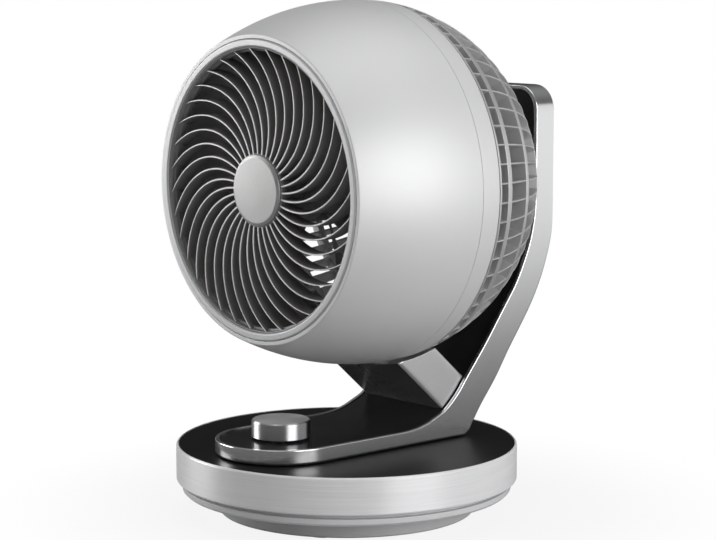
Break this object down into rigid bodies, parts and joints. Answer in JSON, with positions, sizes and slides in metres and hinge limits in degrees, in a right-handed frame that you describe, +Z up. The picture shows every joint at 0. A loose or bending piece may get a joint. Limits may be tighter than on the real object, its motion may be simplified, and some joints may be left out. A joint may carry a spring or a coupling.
{
  "type": "air circulator fan",
  "caption": "Table air circulator with a barrel head on a tilting arc saddle, a ribbon arm, a turning round base, a speed knob and a swirl grille.",
  "frame": {"origin": "middle of the bounding box at the underside of the rubber feet", "axes": "+Z up, the fan blows toward -Y, +X is the fan's left side, X=0 is the plane of symmetry"},
  "size_m": [0.2688, 0.2994, 0.3805],
  "materials": {
    "pearl_paint": "satin pearl silver paint",
    "silver_paint": "silver paint",
    "brushed_metal": "fine brushed",
    "gloss_black": "piano black",
    "matt_black": "fine texture",
    "grille_grey": "satin",
    "blade_grey": "satin",
    "rubber": "matt",
    "nylon": "natural",
    "steel": "zinc plated",
    "motor_metal": "die cast",
    "board_green": "solder mask",
    "grey_plastic": "fine texture"
  },
  "bodies": {
    "foot": {"foot_disc": "grey_plastic", "foot_pad_1": "rubber", "foot_pad_2": "rubber", "foot_pad_3": "rubber", "foot_pad_4": "rubber", "foot_pad_5": "rubber", "slide_ring": "nylon", "swivel_gear": "nylon", "gear_screw": "steel"},
    "stand": {"base_pan": "grey_plastic", "base_band": "brushed_metal", "base_cover": "gloss_black", "pan_screw_1": "steel", "pan_screw_2": "steel", "pan_screw_3": "steel", "swivel_motor": "steel", "control_board": "board_green", "rotary_switch": "grey_plastic", "cable_gland": "rubber", "arm_shell": "silver_paint", "arm_panel": "gloss_black", "arm_bolt_1": "steel", "arm_bolt_2": "steel", "arm_bolt_3": "steel", "arm_bolt_4": "steel", "neck_shell": "silver_paint", "neck_skin": "gloss_black", "tilt_shoe": "motor_metal"},
    "pinion": {"swivel_pinion": "nylon"},
    "knob": {"knob_cap": "brushed_metal", "switch_shaft": "steel"},
    "head": {"front_shell": "pearl_paint", "rear_shell": "pearl_paint", "front_ring": "silver_paint", "front_grille": "grille_grey", "hub_badge": "brushed_metal", "air_duct": "matt_black", "rear_grille": "silver_paint", "tilt_track": "matt_black", "rear_cap": "pearl_paint", "motor_mount": "grey_plastic", "motor_housing": "motor_metal"},
    "rotor": {"motor_shaft": "steel", "fan_blade": "blade_grey", "blade_nut": "blade_grey"}
  },
  "joints": [
    {"name": "base_swivel", "type": "hinge", "parent": "foot", "child": "stand", "pos_m": [0, -0.02225, 0.02], "axis": [0, 0, 1], "range_deg": [-45, 45]},
    {"name": "pinion_spin", "type": "hinge", "parent": "stand", "child": "pinion", "pos_m": [0, 0.01375, 0.02], "axis": [0, 0, 1], "range_deg": [-120, 120]},
    {"name": "knob_turn", "type": "hinge", "parent": "stand", "child": "knob", "pos_m": [0, -0.08625, 0.0715], "axis": [0, 0, -1], "range_deg": [0, 270]},
    {"name": "head_tilt", "type": "hinge", "parent": "stand", "child": "head", "pos_m": [0, -0.01385, 0.2461], "axis": [-1, 0, 0], "range_deg": [-10, 40]},
    {"name": "blade_spin", "type": "hinge", "parent": "head", "child": "rotor", "pos_m": [0, -0.01385, 0.2461], "axis": [0, 1, 0], "continuous": true}
  ],
  "couplings": [
    {"joint": "pinion_spin", "follows": "base_swivel", "ratio": 2.6}
  ]
}
